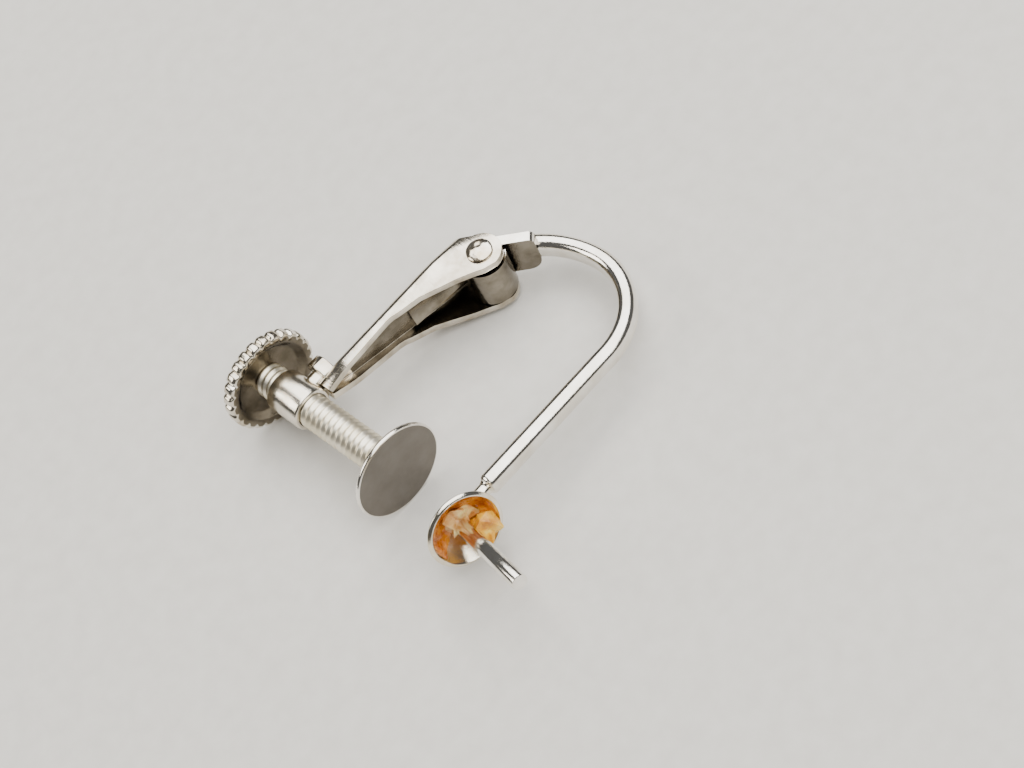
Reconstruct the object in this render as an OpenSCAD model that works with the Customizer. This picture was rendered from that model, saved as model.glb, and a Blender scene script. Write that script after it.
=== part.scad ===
// Clip-on earring finding for a half-drilled pearl, with a hinged clip and a screw pad.
// The earring is modelled flat first: hinge pin on Z at the centre, clip arm along +X,
// screw along +Y. place() then lays it on the surface Z = 0 as it rests by itself.

/* [Screw] */
// Outer diameter of the screw thread
screw_d = 2; // [1.4:0.1:2.6]
// Rise of one thread
screw_pitch = 0.4; // [0.3:0.05:0.6]
// Depth of the thread
thread_depth = 0.2; // [0.1:0.02:0.3]
// Distance from the hinge pin to the screw axis
screw_reach = 12.05; // [10.5:0.05:15]

/* [Pad] */
// Diameter of the pad that presses on the ear lobe
pad_d = 5.64; // [4.5:0.02:7]
// Thickness of the pad's disc
pad_t = 0.3; // [0.2:0.02:0.6]
// Length of the socket on the pad's back
socket_len = 0.45; // [0.35:0.05:0.7]
// Diameter of the pin that turns in the pad's socket
pivot_d = 0.9; // [0.6:0.05:1.1]
// Distance of the pad's face in front of the hinge pin, as the screw stands
pad_out = 4.64; // [4:0.02:5]

/* [Thumbwheel] */
// Diameter of the thumbwheel over its crowns
wheel_d = 6; // [5:0.05:7.5]
// Thickness of the thumbwheel's rim
wheel_t = 0.76; // [0.5:0.02:1.2]
// Radial width of the rim
wheel_rim = 0.62; // [0.45:0.02:0.9]
// Depth of the dished face
wheel_dish = 0.36; // [0.2:0.02:0.45]
// Number of crowns round the rim
wheel_crowns = 26; // [18:1:34]
// Radius of the grooves between the crowns
groove_r = 0.2; // [0.1:0.01:0.24]
// Diameter of the screw's end in the thumbwheel
wheel_pin_d = 1.1; // [0.8:0.05:1.2]
// Distance from the barrel to the thumbwheel's rim
wheel_clear = 0.86; // [0.5:0.02:1.5]

/* [Barrel] */
// Diameter of the threaded barrel
barrel_d = 2.5; // [2.4:0.05:3.2]
// Length of the barrel
barrel_len = 2.44; // [1.8:0.02:3.2]
// Distance of the barrel's front end behind the hinge pin
barrel_back = 2.16; // [1.9:0.02:2.6]
// Diameter of the stem that carries the barrel
stem_d = 1; // [0.8:0.02:1.1]
// Length of the stem inside the arm's curl
stem_hold = 1.2; // [0.8:0.05:1.6]

/* [Clip arm] */
// Thickness of the sheet
sheet_t = 0.42; // [0.3:0.02:0.5]
// Overall width of the two ears
ears_w = 3.8; // [3.4:0.05:4.4]
// Radius of the ears' round end
ear_r = 1.23; // [1.1:0.01:1.4]
// Depth of the channel's back behind the pin at the hinge
back_hinge = 2; // [1.9:0.02:2.3]
// Depth of the channel's back behind the pin at the tail
back_tail = 2.97; // [2.8:0.02:3.2]
// Depth of the free edges behind the pin at the tail
edge_tail = 1.95; // [1.8:0.02:2.1]
// Where the free edges reach their low stretch
edge_low_x = 4; // [3.5:0.05:4.5]
// Where the step in the free edges begins
step_x = 5.33; // [5:0.02:5.8]
// Length of the step in the free edges
step_len = 0.72; // [0.5:0.02:1]
// Height of the step in the free edges
step_h = 0.45; // [0.2:0.05:0.5]
// Where the two flanges begin to close together
taper_x = 2; // [1.6:0.05:2.6]
// Width over the flanges where they bend to the beak
waist_w = 1.9; // [1.7:0.05:2.3]
// Width of the slot that stays between the flanges at the beak
slot_w = 0.16; // [0.1:0.02:0.24]
// Length of the beak
beak_len = 1.6; // [1.2:0.05:1.9]

/* [Leaf spring] */
// Thickness of the leaf spring
leaf_t = 0.2; // [0.12:0.01:0.24]
// Width of the leaf spring
leaf_w = 1.5; // [1:0.05:1.7]
// Length of the leaf spring
leaf_len = 4.2; // [3:0.1:4.6]

/* [Ear wire] */
// Width of the wire, seen from above
wire_w = 1.02; // [0.8:0.02:1.3]
// Height of the wire
wire_h = 1.3; // [1:0.02:1.6]
// Bevel along the wire's edges
wire_bevel = 0.26; // [0.15:0.01:0.3]
// Distance of the straight leg's middle in front of the hinge pin
leg_out = 9.35; // [9.1:0.05:10.5]
// Radius of the bend at the front, along the wire's middle
bend_r = 4.44; // [4.2:0.02:4.7]
// Where the straight leg begins
leg_x0 = 0.47; // [0.2:0.01:0.8]
// Where the straight leg ends
leg_x1 = 10.02; // [9.5:0.02:10.4]
// Radius of the heel between the bend and the hinge
heel_r = 6.55; // [6:0.05:7.2]
// Angle that the heel turns through
heel_deg = 36; // [32:0.5:40]
// Thickness of the flattened tongue
tongue_t = 0.6; // [0.4:0.02:0.64]
// Wall of the knuckle that is rolled from the tongue
knuckle_wall = 0.66; // [0.5:0.02:0.7]
// Height of the tongue and its knuckle
tongue_h = 2.6; // [2.2:0.05:2.8]
// Diameter of the neck that carries the cup
neck_d = 0.75; // [0.6:0.01:0.9]

/* [Cup and peg] */
// Outer diameter of the cup
cup_d = 4.44; // [3.8:0.02:5]
// Depth of the cup outside
cup_depth = 1.22; // [1:0.02:1.5]
// Thickness of the cup's wall
cup_wall = 0.28; // [0.2:0.01:0.36]
// How far the cup's middle lies past the screw axis
cup_past = 0.45; // [0.2:0.01:0.7]
// How far the cup's rim lies beyond the middle of the leg
cup_out = 0.81; // [0.7:0.01:1]
// Lean of the cup away from the hinge
cup_lean = 9.4; // [0:0.2:12]
// Lean of the cup upwards
cup_tip_up = 15.5; // [0:0.5:18]
// Diameter of the peg
peg_d = 0.9; // [0.7:0.02:1.2]
// Length of the peg beyond the cup's rim
peg_len = 5.7; // [3:0.1:6.5]
// Diameter of the solder round the peg's foot
peg_foot_d = 1.5; // [1.2:0.02:1.6]
// Height of the solder round the peg's foot
peg_foot_h = 0.26; // [0.2:0.01:0.3]

/* [Hinge rivet] */
// Diameter of the rivet's shank
rivet_d = 1.3; // [1:0.02:1.4]
// Diameter of the rivet's heads
rivet_head_d = 1.5; // [1.4:0.02:1.9]
// Height of the domed heads
rivet_head_h = 0.3; // [0.2:0.01:0.4]

/* [Hidden] */
$fn = 48;

// Clearances
running_gap = 0.03;
fixed_gap = 0.02;
side_gap = 0.05;

// Places along the screw, measured from the hinge pin
pad_back_y = pad_out - pad_t;
barrel_y1 = -barrel_back;
barrel_y0 = barrel_y1 - barrel_len;
barrel_mid_y = (barrel_y0 + barrel_y1) / 2;
barrel_edge = 0.12;
wheel_face_y = barrel_y0 - wheel_clear;
wheel_back_y = wheel_face_y - wheel_t;
wheel_web_y = wheel_face_y - wheel_dish;
wheel_edge = 0.14;
pad_edge = 0.06;
screw_r = screw_d / 2;
rod_y0 = wheel_web_y + fixed_gap;
rod_y1 = pad_back_y - socket_len - fixed_gap;
pivot_end_y = pad_back_y - side_gap;

// Places across the hinge
ears_in = ears_w / 2 - sheet_t;
knuckle_in_r = rivet_d / 2 + fixed_gap;
knuckle_r = knuckle_in_r + knuckle_wall;
strap_r = knuckle_in_r + knuckle_wall / 2;

// Clip arm, seen from the side: where the sheet ends at the tail
tail_gap = 0.3;
far = 6;
tail_x = screw_reach - screw_r - tail_gap;
beak_x = tail_x - beak_len;
back_start = 0.3;
ear_back_x = -0.5;
back_slope = (back_tail - back_hinge) / (tail_x - back_start);
leaf_x0 = back_start + side_gap;

// Stem of the barrel and the curl of the arm round it
stem_r = stem_d / 2;
stem_x0 = tail_x - stem_hold;
curl_in_r = stem_r + fixed_gap;
curl_out_r = curl_in_r + sheet_t;

// Ear wire: the bend's middle lies level with the heel's
bend_y = leg_out - bend_r;
heel_x = leg_x0 - bend_r + heel_r;
heel_lap = 2;
heel_end = 180 + heel_deg;
lap_r = heel_r - wire_w / 2 + wire_bevel;
lap_pt = [heel_x + lap_r * cos(heel_end - heel_lap), bend_y + lap_r * sin(heel_end - heel_lap)];
lap_dist = norm(lap_pt);
foot_deg = atan2(lap_pt[1], lap_pt[0]) + acos(strap_r / lap_dist);
tongue_dir = foot_deg - 90;
tongue_len = sqrt(lap_dist * lap_dist - strap_r * strap_r);

// Cup: a shallow bowl cut from a ball, its rim at the origin and its mouth towards +Y
cup_r = cup_d / 2;
ball_r = (cup_r * cup_r + cup_depth * cup_depth) / (2 * cup_depth);
ball_y = ball_r - cup_depth;
cup_pos = [screw_reach + cup_past, leg_out + cup_out, 0];
neck_end_x = cup_pos[0] - cup_r / 2;

// Domed rivet heads, cut from a ball
head_r = (pow(rivet_head_d / 2, 2) + pow(rivet_head_h, 2)) / (2 * rivet_head_h);
head_seat = ears_w / 2 + running_gap;
head_mid = head_seat + rivet_head_h - head_r;

// How the earring rests by itself: on the thumbwheel, the pad and the lower rivet head.
// The first angle levels the wheel's rim with the pad's, the second lowers the tail.
wheel_r = wheel_d / 2;
pad_r = pad_d / 2;
wheel_rest_y = wheel_face_y - wheel_edge;
pad_rest_y = pad_out - pad_edge;
roll = atan((wheel_r - pad_r) / (wheel_rest_y - pad_rest_y));
drop = pad_r - pad_rest_y * tan(roll) - head_r / cos(roll);
pitch = asin(drop / norm([screw_reach, head_mid])) - atan2(head_mid, screw_reach);

module place() {
    translate([0, 0, head_r]) rotate([roll, 0, 0]) rotate([0, -pitch, 0])
        translate([0, 0, head_mid]) children();
}

// A solid of revolution along +Y from a profile of [radius, place along Y]
module turned(points) {
    rotate([-90, 0, 0]) rotate_extrude() polygon(points);
}

module on_screw_axis() {
    place() translate([screw_reach, 0, 0]) children();
}

// Section of the ear wire, centred: a flat bar with bevelled edges
module wire_section() {
    w = wire_w / 2;
    h = wire_h / 2;
    b = wire_bevel;
    polygon([[w - b, -h], [w, b - h], [w, h - b], [w - b, h], [b - w, h], [-w, h - b], [-w, b - h], [b - w, -h]]);
}

// A stretch of wire bent in the plane of the earring
module wire_bend(middle, radius, start, sweep) {
    translate([middle[0], middle[1], 0]) rotate([0, 0, start])
        rotate_extrude(angle = sweep) translate([radius, 0]) wire_section();
}

module wire_leg() {
    translate([leg_x0, leg_out, 0]) rotate([90, 0, 90]) linear_extrude(leg_x1 - leg_x0) wire_section();
}

module tongue() {
    rotate([0, 0, tongue_dir]) translate([0, strap_r - tongue_t / 2, -tongue_h / 2])
        cube([tongue_len, tongue_t, tongue_h]);
}

module cup_place() {
    translate(cup_pos) rotate([cup_tip_up, 0, 0]) rotate([0, 0, -cup_lean]) children();
}

module cup_outside() {
    intersection() {
        translate([0, ball_y, 0]) sphere(ball_r);
        translate([0, -cup_depth, 0]) rotate([-90, 0, 0]) cylinder(r = ball_r, h = cup_depth);
    }
}

module cup_inside() {
    translate([0, ball_y, 0]) sphere(ball_r - cup_wall);
}

module peg() {
    floor_y = cup_wall / 2 - cup_depth;
    foot_y = cup_wall - cup_depth + peg_foot_h;
    translate([0, floor_y, 0]) rotate([-90, 0, 0]) cylinder(d = peg_d, h = peg_len - floor_y);
    translate([0, floor_y, 0]) rotate([-90, 0, 0]) cylinder(d1 = peg_foot_d, d2 = peg_d, h = foot_y - floor_y);
}

module ear_wire() {
    color("silver") place() {
        difference() {
            union() {
                wire_bend([leg_x0, bend_y], bend_r, 90, 90);
                wire_bend([heel_x, bend_y], heel_r, 180, heel_deg);
                wire_leg();
                tongue();
                translate([0, 0, -tongue_h / 2]) cylinder(r = knuckle_r, h = tongue_h);
                translate([leg_x1, leg_out, 0]) rotate([0, 90, 0]) cylinder(d = neck_d, h = neck_end_x - leg_x1);
                cup_place() cup_outside();
            }
            cylinder(r = knuckle_in_r, h = 2 * tongue_h, center = true);
            cup_place() cup_inside();
        }
        cup_place() peg();
    }
}

module rivet_head() {
    intersection() {
        translate([0, 0, head_mid]) sphere(head_r);
        translate([0, 0, head_seat]) cylinder(d = rivet_head_d + 1, h = rivet_head_h + 1);
    }
}

module hinge_rivet() {
    color("gainsboro") place() {
        cylinder(d = rivet_d, h = 2 * head_seat, center = true);
        rivet_head();
        mirror([0, 0, 1]) rivet_head();
    }
}

// Side of the folded sheet, seen along the hinge pin
module arm_side() {
    circle(r = ear_r);
    polygon([
        [ear_back_x, -ear_r * 0.9],
        [back_start, -back_hinge],
        [tail_x, -back_tail],
        [tail_x, -edge_tail],
        [step_x + step_len, step_h / 2 - edge_tail],
        [step_x, step_h - edge_tail],
        [edge_low_x, step_h * 2 - edge_tail],
        [ear_r, ear_r / 2],
        [0, ear_r]
    ]);
}

// The sheet's back, from the hinge to the tail, set in by some thickness
module arm_hollow_side() {
    polygon([
        [-far, -far],
        [back_start, -far],
        [back_start, sheet_t - back_hinge],
        [tail_x + far, sheet_t - back_tail - far * back_slope],
        [tail_x + far, far],
        [-far, far]
    ]);
}

// Half width of the clip at each place, seen from behind, less some thickness
module arm_plan(inset) {
    plan = [[-far, ears_w / 2], [taper_x, ears_w / 2], [beak_x, waist_w / 2], [tail_x, slot_w / 2 + sheet_t]];
    one_side = [for (p = plan) [p[0], p[1] - inset]];
    end = one_side[len(plan) - 1];
    polygon(concat(one_side, [[tail_x + 1, end[1]], [tail_x + 1, -end[1]]],
        [for (i = [len(plan) - 1:-1:0]) [one_side[i][0], -one_side[i][1]]]));
}

// A solid between the side outline and the plan outline
module arm_form(inset) {
    intersection() {
        translate([0, 0, -ears_w]) linear_extrude(2 * ears_w) children();
        translate([0, far, 0]) rotate([90, 0, 0]) linear_extrude(2 * far) arm_plan(inset);
    }
}

module stem_round(radius, x0, x1) {
    translate([x0, barrel_mid_y, 0]) rotate([0, 90, 0]) cylinder(r = radius, h = x1 - x0);
}

// The end of the sheet, curled round the barrel's stem
module arm_curl() {
    stem_round(curl_out_r, stem_x0, tail_x);
    translate([stem_x0, barrel_mid_y, -curl_out_r])
        cube([stem_hold, -back_tail + sheet_t - barrel_mid_y, 2 * curl_out_r]);
}

module clip_arm() {
    color("silver") place() difference() {
        union() {
            difference() {
                arm_form(0) arm_side();
                arm_form(sheet_t) arm_hollow_side();
            }
            arm_curl();
        }
        stem_round(curl_in_r, stem_x0 - 1, tail_x + 1);
        cylinder(r = rivet_d / 2 + running_gap, h = 2 * ears_w, center = true);
    }
}

// A thin plate on the back's inner face that steadies the knuckle
module leaf_spring() {
    lift = sheet_t + side_gap / 2 - back_hinge;
    x1 = leaf_x0 + leaf_len;
    color("gainsboro") place() translate([0, 0, -leaf_w / 2]) linear_extrude(leaf_w) polygon([
        [leaf_x0, lift - (leaf_x0 - back_start) * back_slope],
        [x1, lift - (x1 - back_start) * back_slope],
        [x1, lift + leaf_t - (x1 - back_start) * back_slope],
        [leaf_x0, lift + leaf_t - (leaf_x0 - back_start) * back_slope]
    ]);
}

module barrel() {
    r = barrel_d / 2;
    color("silver") place() difference() {
        union() {
            translate([screw_reach, 0, 0]) turned([
                [0, barrel_y0], [r - barrel_edge, barrel_y0], [r, barrel_y0 + barrel_edge],
                [r, barrel_y1 - barrel_edge], [r - barrel_edge, barrel_y1], [0, barrel_y1]
            ]);
            stem_round(stem_r, stem_x0, screw_reach - screw_r);
        }
        translate([screw_reach, -far, 0]) rotate([-90, 0, 0]) cylinder(r = screw_r + running_gap, h = 2 * far);
    }
}

// Thread seen in section: one ridge to each pitch
module screw() {
    root = screw_r - thread_depth;
    count = floor((rod_y1 - rod_y0) / screw_pitch);
    flat = screw_pitch / 6;
    ridges = [for (i = [0:count - 1], p = [[root, 0], [screw_r, 0.5 - flat], [screw_r, 0.5 + flat]])
        [p[0], rod_y0 + screw_pitch * (i + p[1])]];
    color("silver") on_screw_axis() turned(concat(
        [[0, wheel_back_y], [wheel_pin_d / 2, wheel_back_y], [wheel_pin_d / 2, rod_y0]],
        ridges,
        [[root, rod_y1], [pivot_d / 2, rod_y1], [pivot_d / 2, pivot_end_y], [0, pivot_end_y]]
    ));
}

module thumbwheel() {
    e = wheel_edge;
    hole = wheel_pin_d / 2 + fixed_gap;
    inner = wheel_r - wheel_rim;
    groove_at = wheel_r + groove_r / 4;
    color("silver") on_screw_axis() difference() {
        turned([
            [hole, wheel_back_y], [wheel_r - e, wheel_back_y], [wheel_r, wheel_back_y + e],
            [wheel_r, wheel_face_y - e], [wheel_r - e, wheel_face_y], [inner, wheel_face_y],
            [inner - wheel_dish, wheel_web_y], [hole, wheel_web_y]
        ]);
        for (i = [0:wheel_crowns - 1]) {
            rotate([0, pitch - 90 - (i + 0.5) * 360 / wheel_crowns, 0])
                translate([groove_at, wheel_back_y - 1, 0])
                rotate([-90, 0, 0]) cylinder(r = groove_r, h = wheel_t + 2);
        }
    }
}

// The socket's outside carries one ridge, like the thread that it meets
module pad() {
    e = pad_edge;
    socket_r = pivot_d / 2 + running_gap;
    root = screw_r - thread_depth;
    socket_y = pad_back_y - socket_len;
    color("gainsboro") on_screw_axis() turned([
        [socket_r, socket_y], [root, socket_y], [screw_r, socket_y + socket_len / 2], [root, pad_back_y],
        [pad_r - e, pad_back_y],
        [pad_r, pad_back_y + e], [pad_r, pad_out - e], [pad_r - e, pad_out], [0, pad_out],
        [0, pad_back_y], [socket_r, pad_back_y]
    ]);
}

ear_wire();
hinge_rivet();
clip_arm();
leaf_spring();
barrel();
screw();
thumbwheel();
pad();
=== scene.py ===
import bpy
import bmesh
from math import acos, asin, atan2, cos, hypot, pi, radians, sin, tau
from mathutils import Matrix, Vector, noise


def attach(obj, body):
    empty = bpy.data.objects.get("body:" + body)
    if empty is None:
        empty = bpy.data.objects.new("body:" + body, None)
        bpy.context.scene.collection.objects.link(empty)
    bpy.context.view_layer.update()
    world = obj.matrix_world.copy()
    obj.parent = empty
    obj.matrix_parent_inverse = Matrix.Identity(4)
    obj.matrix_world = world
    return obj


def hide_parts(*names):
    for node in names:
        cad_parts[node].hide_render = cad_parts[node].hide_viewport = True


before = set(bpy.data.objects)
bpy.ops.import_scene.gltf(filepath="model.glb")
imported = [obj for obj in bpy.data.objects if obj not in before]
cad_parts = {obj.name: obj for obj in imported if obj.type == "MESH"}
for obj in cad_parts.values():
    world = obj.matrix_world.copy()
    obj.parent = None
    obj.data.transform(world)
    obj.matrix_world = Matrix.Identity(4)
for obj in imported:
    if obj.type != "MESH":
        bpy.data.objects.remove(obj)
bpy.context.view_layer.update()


# ---------------------------------------------------------------- Resting place and camera
# The earring lies on its side, on the thumbwheel, the pad and the hinge rivet's lower head.
# Every piece is shaped flat, in millimetres, with the hinge pin on Z, the clip along +X and
# the screw along +Y, and lay() then puts its mesh where the earring rests, in metres.
rivet_head_ball = 1.0875
rivet_head_middle = 1.1425
rest_roll = radians(-1.0129829)
rest_pitch = radians(3.1997349)
resting = (Matrix.Translation((0, 0, rivet_head_ball)) @ Matrix.Rotation(rest_roll, 4, "X")
           @ Matrix.Rotation(-rest_pitch, 4, "Y") @ Matrix.Translation((0, 0, rivet_head_middle)))


def lay(shape):
    bmesh.ops.transform(shape, matrix=Matrix.Scale(0.001, 4) @ resting, verts=shape.verts)


# The camera looks down on the earring as the photograph does, from about 14 cm
photo_wide = 1024
focal_pixels = 2556.95
sensor_wide = 36
camera_at = Vector((31.5463, 81.3709, 111.1249))
camera_right = Vector((-0.64449, 0.69429, -0.3203))
camera_up = Vector((-0.73801, -0.45533, 0.498))
camera_back = camera_right.cross(camera_up)

camera_data = bpy.data.cameras.new("photo_camera")
camera_data.lens = focal_pixels / photo_wide * sensor_wide
camera_data.sensor_width = sensor_wide
camera_data.clip_start = 0.01
camera_data.clip_end = 50
camera = bpy.data.objects.new("photo_camera", camera_data)
camera.matrix_world = Matrix.Translation(camera_at * 0.001) @ Matrix(
    (camera_right, camera_up, camera_back)).transposed().to_4x4()
bpy.context.collection.objects.link(camera)
bpy.context.scene.camera = camera


# ---------------------------------------------------------------- Ear wire, bent bar
# A flat-sided bar of sterling silver, 1.02 by 1.3 mm, drawn with rounded edges, bent to a U
# and polished bright. Its front end is sawn square and softened on the wheel.
bar_wide = 1.02
bar_high = 1.3
bar_edge = 0.44
leg_line = 9.35
leg_from = 0.47
leg_to = 10.02
bend_radius = 4.44
heel_radius = 6.55
heel_turn = radians(36)
bend_middle = Vector((leg_from, leg_line - bend_radius, 0))
heel_middle = bend_middle + Vector((heel_radius - bend_radius, 0, 0))


def linear(hex_colour):
    parts = [int(hex_colour[i:i + 2], 16) / 255 for i in (0, 2, 4)]
    return tuple(c / 12.92 if c <= 0.04045 else ((c + 0.055) / 1.055) ** 2.4 for c in parts) + (1,)


def add_node(tree, kind, settings=None, inputs=None):
    made = tree.nodes.new(kind)
    for name, value in (settings or {}).items():
        setattr(made, name, value)
    for name, value in (inputs or {}).items():
        if isinstance(value, bpy.types.NodeSocket):
            tree.links.new(value, made.inputs[name])
        else:
            made.inputs[name].default_value = value
    return made


def ramp_of(tree, factor, stops):
    made = add_node(tree, "ShaderNodeValToRGB", None, {"Fac": factor})
    bar = made.color_ramp
    while len(bar.elements) < len(stops):
        bar.elements.new(0.5)
    for element, (place, colour) in zip(bar.elements, stops):
        element.position = place
        element.color = colour if isinstance(colour, tuple) else (colour, colour, colour, 1)
    return made.outputs["Color"]


# Polished sterling silver: near white and mirror bright, with the faint cloudy waves that a
# felt wheel leaves every 1.5 mm or so, hair scratches from wear, and a breath of warm tarnish.
# Its two tones also carry painted dark reflections, on the pad's face and the wheel's dish
def silver_finish(name, bright, tarnish_and_painted_shade, rough, haze, scratch_mm, scratch_bump):
    material = bpy.data.materials.new(name)
    material.use_nodes = True
    tree = material.node_tree
    shader = tree.nodes["Principled BSDF"]
    shader.inputs["Metallic"].default_value = 1
    place = add_node(tree, "ShaderNodeTexCoord").outputs["Object"]
    clouds = add_node(tree, "ShaderNodeTexNoise", None,
                      {"Vector": place, "Scale": 1000 / 1.5, "Detail": 3, "Roughness": 0.6}).outputs["Fac"]
    colour = ramp_of(tree, clouds, [(0.35, linear(bright)), (0.72, linear(tarnish_and_painted_shade))])
    tree.links.new(colour, shader.inputs["Base Color"])
    # Long, thin scratches: a noise that is stretched 14 times along the bar
    stretched = add_node(tree, "ShaderNodeMapping", None, {
        "Vector": place, "Rotation": (0.3, 0.2, 0.85), "Scale": (1, 1 / 14, 1)}).outputs["Vector"]
    hairs = add_node(tree, "ShaderNodeTexNoise", None, {
        "Vector": stretched, "Scale": 1000 / scratch_mm, "Detail": 4, "Roughness": 0.7}).outputs["Fac"]
    dulling = add_node(tree, "ShaderNodeMix", {"data_type": "FLOAT"},
                       {"Factor": 0.5, "A": clouds, "B": hairs}).outputs["Result"]
    dull = add_node(tree, "ShaderNodeMapRange", None,
                    {"Value": dulling, "From Min": 0.35, "From Max": 0.7, "To Min": rough, "To Max": haze})
    tree.links.new(dull.outputs["Result"], shader.inputs["Roughness"])
    bump = add_node(tree, "ShaderNodeBump", None,
                    {"Height": hairs, "Strength": scratch_bump, "Distance": 0.00002})
    tree.links.new(bump.outputs["Normal"], shader.inputs["Normal"])
    return material


# Scratches are drawn 0.09 mm apart, as coarse as they need to show; real ones are finer
polished_silver = silver_finish("polished_sterling_silver", "F5F2EC", "DCD5C8", 0.05, 0.17, 0.09, 0.22)


def crease_by_angle(mesh, angle):
    mesh.shade_smooth()
    mesh.set_sharp_from_angle(angle=radians(angle))


# A second finish goes on the faces that second_on picks while the shape is still in its own frame
def piece(name, shape, material, body, *nodes, crease=32, second=None, second_on=None,
          slot="polished_silver"):
    bmesh.ops.remove_doubles(shape, verts=shape.verts, dist=0.0004)
    if second:
        shape.normal_update()
        for face in shape.faces:
            face.material_index = int(second_on(face.normal, face.calc_center_median()))
    lay(shape)
    mesh = bpy.data.meshes.new(name)
    shape.to_mesh(mesh)
    shape.free()
    crease_by_angle(mesh, crease)
    mesh.materials.append(material)
    if second:
        mesh.materials.append(second)
    made = bpy.data.objects.new(name, mesh)
    bpy.context.collection.objects.link(made)
    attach(made, body)
    if nodes:
        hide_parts(*nodes)
    return made


def close_ends(shape):
    open_edges = [e for e in shape.edges if e.is_boundary]
    bmesh.ops.holes_fill(shape, edges=open_edges, sides=0)
    bmesh.ops.recalc_face_normals(shape, faces=shape.faces)


def soften(shape, edges, offset, segments=2):
    bmesh.ops.bevel(shape, geom=list(edges), affect="EDGES", offset=offset, offset_type="OFFSET",
                    segments=segments, profile=0.5, material=-1, clamp_overlap=True)


def sharp_edges(shape, angle):
    return [e for e in shape.edges if len(e.link_faces) == 2 and e.calc_face_angle(0) > radians(angle)]


def turn_round(shape, middle, axis, steps, merge=0.001):
    bmesh.ops.spin(shape, geom=shape.verts[:] + shape.edges[:], cent=middle, axis=axis, angle=tau, steps=steps,
                   use_merge=True)
    bmesh.ops.remove_doubles(shape, verts=shape.verts, dist=merge)
    bmesh.ops.recalc_face_normals(shape, faces=shape.faces)


def newest(result):
    return [g for g in result["geom"] if isinstance(g, bmesh.types.BMVert)]


bar = bmesh.new()
bmesh.ops.create_grid(bar, x_segments=1, y_segments=1, size=0.5)
bmesh.ops.scale(bar, vec=(bar_wide, bar_high, 1), verts=bar.verts)
bmesh.ops.bevel(bar, geom=bar.verts[:], affect="VERTICES", offset=bar_edge, segments=8, profile=0.5, material=-1)
# The drawplate leaves one narrow flat along the upper outer edge: one arc point is taken out
upper_outer = sorted((v for v in bar.verts if v.co.x < -0.1 and v.co.y > 0.25), key=lambda v: v.co.x)
bmesh.ops.dissolve_verts(bar, verts=upper_outer[3:4])
bmesh.ops.delete(bar, geom=bar.faces[:], context="FACES_ONLY")
# Stand the section up across the leg's end: width along -Y, height along Z
bmesh.ops.transform(bar, verts=bar.verts, matrix=Matrix.Translation((leg_to, leg_line, 0))
                    @ Matrix(((0, 0, 1), (-1, 0, 0), (0, 1, 0))).to_4x4())
front_ring = bar.edges[:]
grown = bmesh.ops.extrude_edge_only(bar, edges=front_ring)
bmesh.ops.translate(bar, vec=(leg_from - leg_to, 0, 0), verts=newest(grown))
last = [g for g in grown["geom"] if isinstance(g, bmesh.types.BMEdge)]
turned = bmesh.ops.spin(bar, geom=last, cent=bend_middle, axis=(0, 0, 1), angle=pi / 2, steps=56)
last = [g for g in turned["geom_last"] if isinstance(g, bmesh.types.BMEdge)]
turned = bmesh.ops.spin(bar, geom=last, cent=heel_middle, axis=(0, 0, 1), angle=heel_turn, steps=26)
close_ends(bar)
front_face = max(bar.faces, key=lambda f: f.calc_center_median().x)
soften(bar, front_face.edges, 0.3, 6)
heel_face = min(bar.faces, key=lambda f: f.calc_center_median().y)
soften(bar, heel_face.edges, 0.16, 3)
piece("bent_wire", bar, polished_silver, "ear_wire", "ear_wire")


# ---------------------------------------------------------------- Tongue and knuckle
# The bar's other end carries a flat tongue that lies along its inner side and is rolled round
# the rivet to a knuckle, so that the clip swings on it. It is soldered and polished over.
tongue_thick = 0.6
tongue_high = 2.6
strap_line = 1.0
knuckle_wrap = radians(285)
lap_angle = pi + heel_turn - radians(2)
lap_deep = 0.26
lap_radius = heel_radius - bar_wide / 2 + lap_deep
lap_at = heel_middle + Vector((cos(lap_angle), sin(lap_angle), 0)) * lap_radius
foot_angle = atan2(lap_at.y, lap_at.x) + acos(strap_line / lap_at.xy.length)
tongue_long = (lap_at.xy.length_squared - strap_line ** 2) ** 0.5

# Annealed and rolled silver keeps a duller, browner skin in the hinge, where no wheel reaches
hinge_silver = silver_finish("hinge_silver_with_tarnish", "8E877B", "5C5446", 0.12, 0.28, 0.12, 0.4)

roll = bmesh.new()
bmesh.ops.create_grid(roll, x_segments=1, y_segments=3, size=0.5)
bmesh.ops.scale(roll, vec=(tongue_thick, tongue_high, 1), verts=roll.verts)
bmesh.ops.transform(roll, verts=roll.verts, matrix=Matrix.Rotation(foot_angle, 4, "Z")
                    @ Matrix.Translation((strap_line, -tongue_long, 0)) @ Matrix.Rotation(pi / 2, 4, "X"))
grown = bmesh.ops.extrude_face_region(roll, geom=roll.faces[:])
bmesh.ops.translate(roll, vec=Matrix.Rotation(foot_angle, 4, "Z") @ Vector((0, tongue_long, 0)),
                    verts=newest(grown))
last = [g for g in grown["geom"] if isinstance(g, bmesh.types.BMFace)]
bmesh.ops.spin(roll, geom=last, cent=(0, 0, 0), axis=(0, 0, 1), angle=knuckle_wrap, steps=40)
close_ends(roll)
for side, corner_round in ((1, 0.35), (-1, 0.95)):
    tongue_tip = [e for e in roll.edges if abs(e.calc_length() - tongue_thick) < 1e-3
                  and (e.verts[0].co.xy - lap_at.xy).length < 0.6 and side * e.verts[0].co.z > 1.2]
    soften(roll, tongue_tip, corner_round, 6)
soften(roll, sharp_edges(roll, 60), 0.07, 2)
piece("tongue_and_knuckle", roll, polished_silver, "ear_wire", crease=40, second=hinge_silver,
      second_on=lambda normal, at: abs(normal.z) < 0.3)


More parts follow.
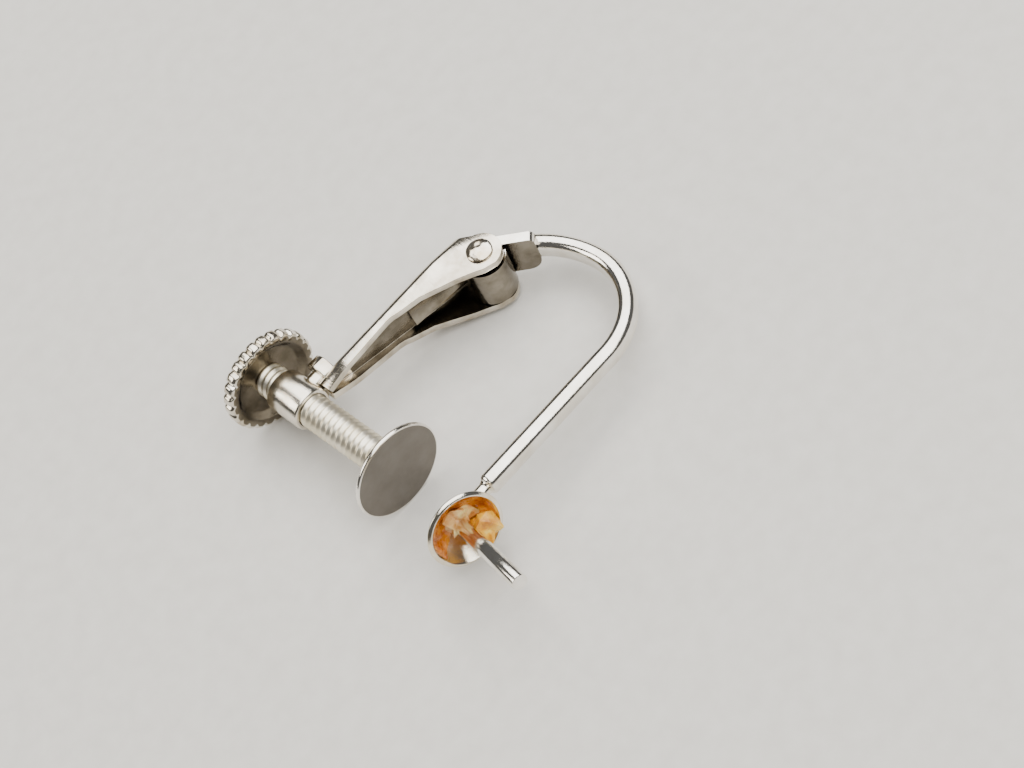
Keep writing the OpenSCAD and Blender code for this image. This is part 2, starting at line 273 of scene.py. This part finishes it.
# ---------------------------------------------------------------- Neck, cup and peg
# A shallow dish is spun from thin sheet, and a peg of 0.9 mm wire is soldered in it for a
# half-drilled pearl. A short neck of round wire joins the dish to the bar's front end.
cup_radius = 2.22
cup_deep = 1.22
cup_wall = 0.28
cup_ball = (cup_radius ** 2 + cup_deep ** 2) / (2 * cup_deep)
cup_ball_y = cup_ball - cup_deep
cup_lean = radians(9.4)
cup_tip = radians(15.5)
neck_radius = 0.375
peg_radius = 0.45
peg_long = 5.7
cup_x = 12.5
cup_out = 0.81
cup_place = (Matrix.Translation((cup_x, leg_line + cup_out, 0)) @ Matrix.Rotation(cup_tip, 4, "X")
             @ Matrix.Rotation(-cup_lean, 4, "Z"))

spun_silver = silver_finish("spun_silver_dish", "F3EFE6", "D6C9AE", 0.07, 0.2, 0.1, 0.25)

dish = bmesh.new()
pole = dish.verts.new((0, -cup_deep, 0))
bmesh.ops.spin(dish, geom=[pole], cent=(0, cup_ball_y, 0), axis=(0, 0, 1),
               angle=acos(cup_ball_y / cup_ball), steps=16)
turn_round(dish, (0, 0, 0), (0, 1, 0), 72, 0.002)
if dish.faces[0].normal.dot(dish.faces[0].calc_center_median() - Vector((0, cup_ball_y, 0))) < 0:
    bmesh.ops.reverse_faces(dish, faces=dish.faces)
bmesh.ops.solidify(dish, geom=dish.faces[:], thickness=cup_wall)
soften(dish, sharp_edges(dish, 50), 0.07, 3)
bmesh.ops.transform(dish, matrix=cup_place, verts=dish.verts)
piece("pearl_cup", dish, spun_silver, "ear_wire")

peg = bmesh.new()
bmesh.ops.create_cone(peg, cap_ends=True, segments=40, radius1=peg_radius, radius2=peg_radius, depth=1)
bmesh.ops.transform(peg, verts=peg.verts, matrix=Matrix.Rotation(-pi / 2, 4, "X"))
for v in peg.verts:
    v.co.y = peg_long if v.co.y > 0 else cup_wall / 2 - cup_deep
caps = [f for f in peg.faces if len(f.verts) > 4]
soften(peg, [e for f in caps for e in f.edges], 0.06, 2)
# A fillet of solder holds the peg's foot
fillet_radius = 0.75
fillet_high = 0.26
foot = bmesh.ops.create_cone(peg, cap_ends=True, segments=40, radius1=fillet_radius, radius2=peg_radius,
                             depth=fillet_high)
bmesh.ops.transform(peg, verts=foot["verts"],
                    matrix=Matrix.Translation((0, cup_wall + fillet_high / 2 - cup_deep, 0))
                    @ Matrix.Rotation(-pi / 2, 4, "X"))
bmesh.ops.transform(peg, matrix=cup_place, verts=peg.verts)
piece("pearl_peg", peg, polished_silver, "ear_wire")

# The neck flares where solder has run up at both of its ends
neck = bmesh.new()
bmesh.ops.create_circle(neck, radius=neck_radius * 1.35, segments=32)
bmesh.ops.rotate(neck, cent=(0, 0, 0), matrix=Matrix.Rotation(pi / 2, 3, "Y"), verts=neck.verts)
bmesh.ops.translate(neck, vec=(leg_to - 0.1, leg_line, 0), verts=neck.verts)
last = neck.edges[:]
for step, widen in ((0.16, 0.78), (0.14, 0.95), (0.3, 1), (0.35, 1.08), (0.2, 1.2), (0.18, 1.25)):
    grown = bmesh.ops.extrude_edge_only(neck, edges=last)
    ring = newest(grown)
    bmesh.ops.translate(neck, vec=(step, 0, 0), verts=ring)
    middle = sum((v.co for v in ring), Vector()) / len(ring)
    bmesh.ops.scale(neck, vec=(1, widen, widen), verts=ring, space=Matrix.Translation(-middle))
    last = [g for g in grown["geom"] if isinstance(g, bmesh.types.BMEdge)]
close_ends(neck)
piece("soldered_neck", neck, spun_silver, "ear_wire")


# ---------------------------------------------------------------- Old pearl cement
# The pearl has come off, and its cement stays in the cup: a thin amber skin on the wall, a
# heap that broke off in facets round the peg's foot, and a clearer lump at the back.
# Aged epoxy is a brittle, yellow-brown glass with a gloss that is dulled on its broken faces
def aged_cement(name, stops):
    material = bpy.data.materials.new(name)
    material.use_nodes = True
    tree = material.node_tree
    shader = tree.nodes["Principled BSDF"]
    shader.inputs["IOR"].default_value = 1.55
    shader.inputs["Subsurface Weight"].default_value = 0.1
    shader.inputs["Subsurface Radius"].default_value = (1.0, 0.5, 0.15)
    shader.inputs["Subsurface Scale"].default_value = 0.0006
    place = add_node(tree, "ShaderNodeTexCoord").outputs["Object"]
    # Patches of about 0.8 mm
    patches = add_node(tree, "ShaderNodeTexNoise", None,
                       {"Vector": place, "Scale": 1000 / 0.8, "Detail": 3, "Distortion": 0.6}).outputs["Fac"]
    tones = ramp_of(tree, patches, [(at, linear(tone)) for at, tone in stops])
    tree.links.new(tones, shader.inputs["Base Color"])
    grit = add_node(tree, "ShaderNodeTexVoronoi", None,
                    {"Vector": place, "Scale": 1000 / 0.22}).outputs["Distance"]
    shine = add_node(tree, "ShaderNodeMapRange", None, {"Value": grit, "To Min": 0.1, "To Max": 0.4})
    tree.links.new(shine.outputs["Result"], shader.inputs["Roughness"])
    bump = add_node(tree, "ShaderNodeBump", None, {"Height": grit, "Strength": 0.3, "Distance": 0.00005})
    tree.links.new(bump.outputs["Normal"], shader.inputs["Normal"])
    return material


amber_film = aged_cement("amber_cement_film", [
    (0.3, "8A3C03"), (0.45, "B25E0A"), (0.6, "CC7F1A"), (0.75, "E5AC44")])
dusty_cement = aged_cement("dusty_pink_cement", [
    (0.3, "9E5A1C"), (0.43, "C98A42"), (0.55, "E2B06C"), (0.68, "F6DC92")])
clear_cement = aged_cement("clear_yellow_cement", [
    (0.3, "B06A08"), (0.45, "D8941A"), (0.58, "EDB634"), (0.72, "F8DA74")])

skin = bmesh.new()
inner_ball = cup_ball - cup_wall
skin_pole = skin.verts.new((0, cup_ball_y - inner_ball, 0))
bmesh.ops.spin(skin, geom=[skin_pole], cent=(0, cup_ball_y, 0), axis=(0, 0, 1),
               angle=radians(52), steps=14)
# The skin leaves only 75 degrees of the wall bare, at the lower front
skin_from = radians(24)
skin_round = radians(285)
bmesh.ops.rotate(skin, cent=(0, 0, 0), matrix=Matrix.Rotation(skin_from, 3, "Y"), verts=skin.verts)
bmesh.ops.spin(skin, geom=skin.verts[:] + skin.edges[:], cent=(0, 0, 0), axis=(0, 1, 0), angle=-skin_round,
               steps=68)
bmesh.ops.remove_doubles(skin, verts=skin.verts, dist=0.002)
ball_middle = Vector((0, cup_ball_y, 0))
for v in skin.verts:
    out = (v.co - ball_middle).normalized()
    rise = 0.05 + 0.09 * max(0, noise.noise(v.co * 2.1) + 0.35)
    if v.is_boundary:
        rise = 0.004
        wander = Vector((noise.noise(v.co * 3.3), 0, noise.noise(v.co * 3.1 + Vector((7, 0, 0)))))
        out = (out + 0.05 * wander).normalized()
    v.co = ball_middle + out * (inner_ball - rise)
bmesh.ops.recalc_face_normals(skin, faces=skin.faces)
bmesh.ops.transform(skin, matrix=cup_place, verts=skin.verts)
piece("cement_skin", skin, amber_film, "ear_wire", crease=50, slot=None)


def broken_lump(middle, size, seed, roughness, cuts=()):
    lump = bmesh.new()
    bmesh.ops.create_icosphere(lump, subdivisions=2, radius=1)
    for v in lump.verts:
        v.co *= 1 + roughness * noise.noise(v.co * 1.7 + Vector((seed, 0, 0)))
        v.co *= 1 + roughness * 0.5 * noise.noise(v.co * 3.9 + Vector((0, seed, 0)))
    bmesh.ops.scale(lump, vec=size, verts=lump.verts)
    bmesh.ops.translate(lump, vec=middle, verts=lump.verts)
    for point, normal in cuts:
        halves = bmesh.ops.bisect_plane(lump, geom=lump.verts[:] + lump.edges[:] + lump.faces[:], plane_co=point,
                                        plane_no=normal, clear_outer=True)
        edges = [g for g in halves["geom_cut"] if isinstance(g, bmesh.types.BMEdge)]
        bmesh.ops.edgeloop_fill(lump, edges=edges)
    # What would stick through the cup's wall is drawn back inside it
    for v in lump.verts:
        out = v.co - ball_middle
        if out.length > inner_ball - 0.02 and v.co.y < 0.05:
            v.co = ball_middle + out.normalized() * (inner_ball - 0.02)
    bmesh.ops.recalc_face_normals(lump, faces=lump.faces)
    bmesh.ops.transform(lump, matrix=cup_place, verts=lump.verts)
    return lump


piece("cement_heap", broken_lump((-0.15, -0.62, 0.35), (0.95, 0.5, 0.95), 2.5, 0.9),
      dusty_cement, "ear_wire", crease=4, slot=None)
piece("cement_block", broken_lump((-0.95, -0.1, -0.8), (0.85, 0.75, 0.95), 5.5, 0.6, (
    ((0, 0.42, 0), (0.2, 1, 0.1)), ((-1.0, 0, -1.45), (-0.15, 0.2, -1)))), clear_cement, "ear_wire", crease=4,
      slot=None)


# ---------------------------------------------------------------- Hinge rivet
# A rivet of soft silver wire through the clip's ears and the knuckle. Its ends are hammered
# to low domes, which stay a little faceted and hold warm tarnish round their rims.
rivet_radius = 0.65
head_radius = 0.75
head_high = 0.295
head_seat = 1.93

rivet_silver = silver_finish("hammered_rivet_silver", "F3EEE3", "B89C6C", 0.08, 0.26, 0.3, 0.5)

rivet = bmesh.new()
dome_ball = 2.2
head_top = head_seat + head_high
for side in (1, -1):
    last = rivet.verts.new((0, 0, side * head_top))
    dome = bmesh.ops.spin(rivet, geom=[last], cent=(0, 0, side * (head_top - dome_ball)), axis=(0, 1, 0),
                          angle=side * asin(0.67 / dome_ball), steps=7)
    last = next(g for g in dome["geom_last"] if isinstance(g, bmesh.types.BMVert))
    # A rounded shoulder leads down to the ear, and the shank goes on inside it
    for x, down in ((0.715, 0.125), (0.742, 0.155), (head_radius, 0.195), (head_radius, head_high),
                    (rivet_radius, head_high)):
        corner = rivet.verts.new((x, 0, side * (head_top - down)))
        rivet.edges.new((last, corner))
        last = corner
    if side == 1:
        upper_shank = last
rivet.edges.new((upper_shank, last))
turn_round(rivet, (0, 0, 0), (0, 0, 1), 40, 0.002)
for v in rivet.verts:
    # Hammer marks: shallow flats that only ever lie inside the dome
    if head_seat + 0.15 < v.co.z < head_top - 0.004:
        v.co.z -= 0.05 * abs(noise.noise(v.co * 2.6 + Vector((3, 1, 0))))
piece("hinge_rivet_domed", rivet, rivet_silver, "ear_wire", "hinge_rivet")


# ---------------------------------------------------------------- Clip arm
# One blank of 0.42 mm silver sheet folded to a channel. Two round ears hold the rivet, the
# flanges step down and close to a beak, and a strip at the end curls round the barrel's stem.
sheet = 0.42
ears_half = 1.9
ear_round = 1.23
tail_x = 10.75
beak_x = 9.15
beak_half = 0.95
tail_half = 0.5
taper_from = 2.0
web_from = 0.3
web_deep = 2.0
tail_deep = 2.97
fold_radius = 0.5
barrel_line = -3.38
stem_radius = 0.5


def half_width(x):
    if x <= taper_from:
        return ears_half
    if x <= beak_x:
        return ears_half + (beak_half - ears_half) * (x - taper_from) / (beak_x - taper_from)
    return beak_half + (tail_half - beak_half) * (x - beak_x) / (tail_x - beak_x)


arm = bmesh.new()
ear_top = arm.verts.new((0, ear_round, 0))
bmesh.ops.spin(arm, geom=[ear_top], cent=(0, 0, 0), axis=(0, 0, 1), angle=radians(154), steps=22)
arm.verts.ensure_lookup_table()
ear_foot = min(arm.verts, key=lambda v: v.co.y)
side_line = [(web_from, -web_deep), (tail_x, -tail_deep), (tail_x, -1.95), (6.05, -1.73), (5.69, -1.66),
             (5.33, -1.5), (4.0, -1.05), (1.23, 0.615), (0.72, 0.97)]
previous = ear_foot
for x, y in side_line:
    corner = arm.verts.new((x, y, 0))
    arm.edges.new((previous, corner))
    previous = corner
arm.edges.new((previous, ear_top))
bmesh.ops.contextual_create(arm, geom=arm.edges[:])
for x in (1.2, taper_from, 3, 5, 7, beak_x - 0.15, beak_x + 0.15):
    bmesh.ops.bisect_plane(arm, geom=arm.verts[:] + arm.edges[:] + arm.faces[:], plane_co=(x, 0, 0),
                           plane_no=(1, 0, 0))
for v in arm.verts:
    v.co.z = half_width(v.co.x)
other = bmesh.ops.duplicate(arm, geom=arm.verts[:] + arm.edges[:] + arm.faces[:])["geom"]
other_verts = [g for g in other if isinstance(g, bmesh.types.BMVert)]
bmesh.ops.scale(arm, vec=(1, 1, -1), verts=other_verts)


def on_back(v):
    line = -web_deep + (v.co.x - web_from) * (web_deep - tail_deep) / (tail_x - web_from)
    return v.co.x > web_from - 1e-4 and abs(v.co.y - line) < 1e-4


back_edges = [e for e in arm.edges if all(on_back(v) for v in e.verts)]
bmesh.ops.bridge_loops(arm, edges=back_edges)
bmesh.ops.recalc_face_normals(arm, faces=arm.faces)
soften(arm, sharp_edges(arm, 60), fold_radius, 7)
outward = max(arm.faces, key=lambda f: f.calc_center_median().z)
if outward.normal.z < 0:
    bmesh.ops.reverse_faces(arm, faces=arm.faces)
bmesh.ops.solidify(arm, geom=arm.faces[:], thickness=sheet)
soften(arm, sharp_edges(arm, 50), 0.13, 3)
# Rolled sheet is a little warmer than the bar, and its hollow is dark with tarnish
sheet_silver = silver_finish("rolled_sheet_silver", "E8E1D4", "A69B88", 0.08, 0.24, 0.12, 0.3)
piece("folded_clip_arm", arm, sheet_silver, "clip", "clip_arm", crease=28, second=hinge_silver,
      second_on=lambda normal, at: at.x < 9.0 and (normal.z * at.z < -0.5 * abs(at.z)
                                                   or (normal.y > 0.5 and at.y < -1.9)))

curl = bmesh.new()
bmesh.ops.create_grid(curl, x_segments=1, y_segments=1, size=0.5)
strip_wide = 0.8
bmesh.ops.scale(curl, vec=(strip_wide, sheet, 1), verts=curl.verts)
bmesh.ops.translate(curl, vec=(tail_x - strip_wide, barrel_line - stem_radius - 0.02 - sheet / 2, 0),
                    verts=curl.verts)
bmesh.ops.spin(curl, geom=curl.faces[:], cent=(0, barrel_line, 0), axis=(1, 0, 0), angle=radians(-300), steps=40)
close_ends(curl)
soften(curl, sharp_edges(curl, 60), 0.15, 4)
piece("curled_strip", curl, sheet_silver, "clip")


# ---------------------------------------------------------------- Leaf spring
# A thin strip of hard sheet lies on the channel's floor and bears on the knuckle. Its free
# end is dished a little, so that only its edge catches the light.
leaf_long = 4.2
leaf_high = 1.5
leaf_thick = 0.16
leaf_dish = 0.16

leaf = bmesh.new()
bmesh.ops.create_grid(leaf, x_segments=12, y_segments=8, size=0.5)
bmesh.ops.scale(leaf, vec=(leaf_long, leaf_high, 1), verts=leaf.verts)
bmesh.ops.rotate(leaf, cent=(0, 0, 0), matrix=Matrix.Rotation(pi / 2, 3, "X"), verts=leaf.verts)
for v in leaf.verts:
    v.co.y = leaf_dish * (2 * v.co.z / leaf_high) ** 2
bmesh.ops.recalc_face_normals(leaf, faces=leaf.faces)
if leaf.faces[0].normal.y < 0:
    bmesh.ops.reverse_faces(leaf, faces=leaf.faces)
bmesh.ops.solidify(leaf, geom=leaf.faces[:], thickness=leaf_thick)
leaf_slope = atan2(web_deep - tail_deep, tail_x - web_from)
bmesh.ops.transform(leaf, verts=leaf.verts,
                    matrix=Matrix.Translation((web_from + 0.1, -web_deep + sheet + 0.22, 0))
                    @ Matrix.Rotation(leaf_slope, 4, "Z") @ Matrix.Translation((leaf_long / 2, 0, 0)))
piece("dished_leaf_spring", leaf, hinge_silver, "clip", "leaf_spring", crease=40)


# ---------------------------------------------------------------- Barrel
# A threaded tube turned from rod, with chamfered ends, on a short stem that the arm's curl
# grips. It is polished on the lathe, so its marks run round it.
screw_x = 12.05
barrel_back = -4.6
barrel_front = -2.16
barrel_radius = 1.25
screw_radius = 1.0


def along_screw(y):
    return Vector((screw_x, y, 0))


turned_silver = silver_finish("lathe_turned_silver", "EDE8DE", "C9BFAB", 0.09, 0.24, 0.07, 0.35)

tube = bmesh.new()
bmesh.ops.create_grid(tube, x_segments=1, y_segments=1, size=0.5)
bmesh.ops.scale(tube, vec=(barrel_radius - screw_radius - 0.03, barrel_front - barrel_back, 1), verts=tube.verts)
bmesh.ops.translate(tube, vec=(screw_x + (barrel_radius + screw_radius + 0.03) / 2,
                               (barrel_back + barrel_front) / 2, 0), verts=tube.verts)
outer = [v for v in tube.verts if v.co.x > screw_x + screw_radius + 0.1]
bmesh.ops.bevel(tube, geom=outer, affect="VERTICES", offset=0.13, segments=3, profile=0.5, material=-1)
bmesh.ops.delete(tube, geom=tube.faces[:], context="FACES_ONLY")
turn_round(tube, along_screw(0), (0, 1, 0), 64)
piece("turned_barrel", tube, turned_silver, "clip", "barrel")

stem_end = 9.55

stem = bmesh.new()
bmesh.ops.create_cone(stem, cap_ends=True, segments=32, radius1=stem_radius, radius2=stem_radius,
                      depth=screw_x - screw_radius - stem_end)
bmesh.ops.transform(stem, verts=stem.verts, matrix=Matrix.Translation(
    ((screw_x - screw_radius + stem_end) / 2 - 0.03, barrel_line, 0)) @ Matrix.Rotation(pi / 2, 4, "Y"))
ends = [f for f in stem.faces if len(f.verts) > 4]
soften(stem, [e for f in ends for e in f.edges], 0.1, 3)
piece("barrel_stem", stem, turned_silver, "clip")


# ---------------------------------------------------------------- Screw
# A silver rod with a cut thread of 0.4 mm pitch, 2 mm across, that runs through the barrel
# from the thumbwheel to the pad. Its crests are worn round and its roots hold old polish.
pitch = 0.4
thread_deep = 0.13
rod_back = -5.8
rod_front = 3.87
around = 40

thread_silver = silver_finish("cut_thread_silver", "F0EADB", "D6CBAE", 0.34, 0.46, 0.1, 0.2)

thread = bmesh.new()
root = screw_radius - thread_deep
profile = [(root, 0), (root + 0.02, 0.04), (screw_radius - 0.02, 0.15), (screw_radius, 0.2),
           (screw_radius - 0.02, 0.25), (root + 0.02, 0.36), (root, 0.4)]
previous = None
for radius, y in profile:
    corner = thread.verts.new((screw_x + radius, rod_back - 2 * pitch + y, 0))
    if previous:
        thread.edges.new((previous, corner))
    previous = corner
turns = int((rod_front - rod_back) / pitch) + 5
bmesh.ops.spin(thread, geom=thread.verts[:] + thread.edges[:], cent=along_screw(0), axis=(0, 1, 0),
               angle=tau * turns, steps=around * turns, dvec=(0, pitch / around, 0))
bmesh.ops.remove_doubles(thread, verts=thread.verts, dist=0.001)
for y, outside in ((rod_back, -1), (rod_front, 1)):
    bmesh.ops.bisect_plane(thread, geom=thread.verts[:] + thread.edges[:] + thread.faces[:],
                           plane_co=along_screw(y), plane_no=(0, outside, 0), clear_outer=True)
close_ends(thread)
piece("screw_thread", thread, thread_silver, "screw", "screw", crease=60)

pin = bmesh.new()
for low, high, radius in ((-6.22, rod_back + 0.02, 0.55), (rod_front - 0.02, 4.29, 0.45)):
    made = bmesh.ops.create_cone(pin, cap_ends=True, segments=32, radius1=radius, radius2=radius, depth=high - low)
    bmesh.ops.transform(pin, verts=made["verts"], matrix=Matrix.Translation(along_screw((low + high) / 2))
                        @ Matrix.Rotation(-pi / 2, 4, "X"))
ends = [f for f in pin.faces if len(f.verts) > 4]
soften(pin, [e for f in ends for e in f.edges], 0.05, 2)
piece("screw_pins", pin, thread_silver, "screw")


# ---------------------------------------------------------------- Thumbwheel
# A disc pressed from silver with a raised rim, dished on the side of the barrel. The rim is
# knurled to 26 round crowns that the fingers grip, and each one catches the light.
wheel_radius = 2.99
wheel_face = -5.46
wheel_thick = 0.76
wheel_dish = 0.36
wheel_rim = 0.62
crowns = 26
per_crown = 10
notch_deep = 0.17
notch_zone = 0.45

knurled_silver = silver_finish("knurled_wheel_silver", "F2EEE5", "A89A80", 0.08, 0.25, 0.12, 0.35)

wheel = bmesh.new()
back = wheel_face - wheel_thick
inner = wheel_radius - wheel_rim
outline = [(0.57, back), (inner - 0.3, back), (wheel_radius - 0.2, back), (wheel_radius - 0.08, back + 0.05),
           (wheel_radius - 0.015, back + 0.14), (wheel_radius, back + 0.27), (wheel_radius, wheel_face - 0.27),
           (wheel_radius - 0.015, wheel_face - 0.14), (wheel_radius - 0.08, wheel_face - 0.05),
           (wheel_radius - 0.2, wheel_face), (inner + 0.08, wheel_face), (inner, wheel_face - 0.04),
           (inner - wheel_dish + 0.08, wheel_face - wheel_dish + 0.04),
           (inner - wheel_dish - 0.05, wheel_face - wheel_dish),
           (0.95, wheel_face - wheel_dish), (0.85, wheel_face - wheel_dish + 0.05),
           (0.57, wheel_face - wheel_dish + 0.05)]
corners = [wheel.verts.new((screw_x + r, y, 0)) for r, y in outline]
for i, corner in enumerate(corners):
    wheel.edges.new((corner, corners[(i + 1) % len(corners)]))
turn_round(wheel, along_screw(0), (0, 1, 0), crowns * per_crown)
first_notch = rest_pitch - pi / 2
for v in wheel.verts:
    arm_x, arm_z = v.co.x - screw_x, v.co.z
    radius = hypot(arm_x, arm_z)
    if radius > wheel_radius - notch_zone:
        # 0 in the middle of a crown, 1 at the bottom of a notch
        turn = (atan2(-arm_z, arm_x) - first_notch) / tau * crowns
        off = abs((turn % 1) - 0.5) * 2
        depth = notch_deep * max(0, off - 0.5) ** 1.2 * 2.3 + 0.02 * off ** 2
        share = min(1, (radius - (wheel_radius - notch_zone)) / 0.25)
        keep = (radius - depth * share) / radius
        v.co.x = screw_x + arm_x * keep
        v.co.z = arm_z * keep
# The dish's silver is painted dark all over: a painted dark reflection
dish_painted_dark_silver = silver_finish("dish_silver_painted_dark_reflection", "857D70", "5F5748", 0.1, 0.24, 0.2, 0.3)
piece("knurled_thumbwheel", wheel, knurled_silver, "screw", "thumbwheel", crease=45, second=dish_painted_dark_silver,
      second_on=lambda normal, at: at.y > wheel_face - notch_zone
      and hypot(at.x - screw_x, at.z) < wheel_radius - 0.36)


# ---------------------------------------------------------------- Pad
# A thin polished disc that swivels on the screw's end and presses on the ear lobe. Its face
# is a flat mirror with fine scratches, with a painted dark reflection over it; its edge is bright.
pad_radius = 2.82
pad_face = 4.64
pad_thick = 0.3
pad_back = pad_face - pad_thick

# The face's silver is painted dark all over: a painted dark reflection
pad_painted_dark_silver = silver_finish("pad_silver_painted_dark_reflection", "78736D", "6C6761", 0.04, 0.09, 0.2, 0.25)

pad = bmesh.new()
outline = [(0, pad_back), (0.48, pad_back), (0.48, pad_back - 0.45), (0.8, pad_back - 0.45), (0.98, pad_back - 0.26),
           (1.0, pad_back - 0.2), (0.98, pad_back - 0.14), (0.85, pad_back), (pad_radius - 0.1, pad_back),
           (pad_radius - 0.03, pad_back + 0.04), (pad_radius, pad_back + 0.12), (pad_radius, pad_face - 0.1),
           (pad_radius - 0.03, pad_face - 0.03), (pad_radius - 0.1, pad_face), (pad_radius - 0.2, pad_face - 0.015),
           (0, pad_face - 0.03)]
corners = [pad.verts.new((screw_x + r, y, 0)) for r, y in outline]
for first, second in zip(corners, corners[1:]):
    pad.edges.new((first, second))
turn_round(pad, along_screw(0), (0, 1, 0), 96)
piece("swivel_pad", pad, pad_painted_dark_silver, "pad", "pad", crease=40, second=polished_silver,
      second_on=lambda normal, at: normal.y < 0.9 or hypot(at.x - screw_x, at.z) > pad_radius - 0.12)


# ---------------------------------------------------------------- Floor and light
# A plain pale floor, and soft studio light: one large panel over the bench that the top faces
# mirror, a smaller one that the wheel's crowns and the thread catch, and a dim room around.
floor_mesh = bpy.data.meshes.new("floor")
sheet_floor = bmesh.new()
bmesh.ops.create_grid(sheet_floor, x_segments=1, y_segments=1, size=1.5)
sheet_floor.to_mesh(floor_mesh)
sheet_floor.free()
floor = bpy.data.objects.new("floor", floor_mesh)
bpy.context.collection.objects.link(floor)
paper = bpy.data.materials.new("pale_paper")
paper.use_nodes = True
tree = paper.node_tree
shader = tree.nodes["Principled BSDF"]
shader.inputs["Roughness"].default_value = 0.9
place = add_node(tree, "ShaderNodeTexCoord").outputs["Object"]
fibres = add_node(tree, "ShaderNodeTexNoise", None, {"Vector": place, "Scale": 900, "Detail": 4}).outputs["Fac"]
paper_tones = ramp_of(tree, fibres, [(0.3, linear("CDCBC7")), (0.7, linear("D4D2CE"))])
tree.links.new(paper_tones, shader.inputs["Base Color"])
floor_mesh.materials.append(paper)

earring_middle = Vector((0.005, 0.0045, 0.003))


def soft_panel(name, toward, distance, size, power, colour):
    data = bpy.data.lights.new(name, "AREA")
    data.shape = "RECTANGLE"
    data.size, data.size_y = size
    data.energy = power
    data.color = linear(colour)[:3]
    lamp = bpy.data.objects.new(name, data)
    way = Vector(toward).normalized()
    lamp.location = earring_middle + way * distance
    lamp.rotation_euler = way.to_track_quat("Z", "Y").to_euler()
    bpy.context.collection.objects.link(lamp)


soft_panel("top_panel", (-0.3, 0.08, 0.95), 0.42, (0.95, 0.5), 7.0, "FFFDF8")
soft_panel("crown_panel", (0.6, -0.5, 0.6), 0.6, (0.3, 0.3), 1.6, "FFF9EE")

world = bpy.data.worlds.new("dim_room")
world.use_nodes = True
world.node_tree.nodes["Background"].inputs["Color"].default_value = linear("A7A6A4")
world.node_tree.nodes["Background"].inputs["Strength"].default_value = 0.3
bpy.context.scene.world = world
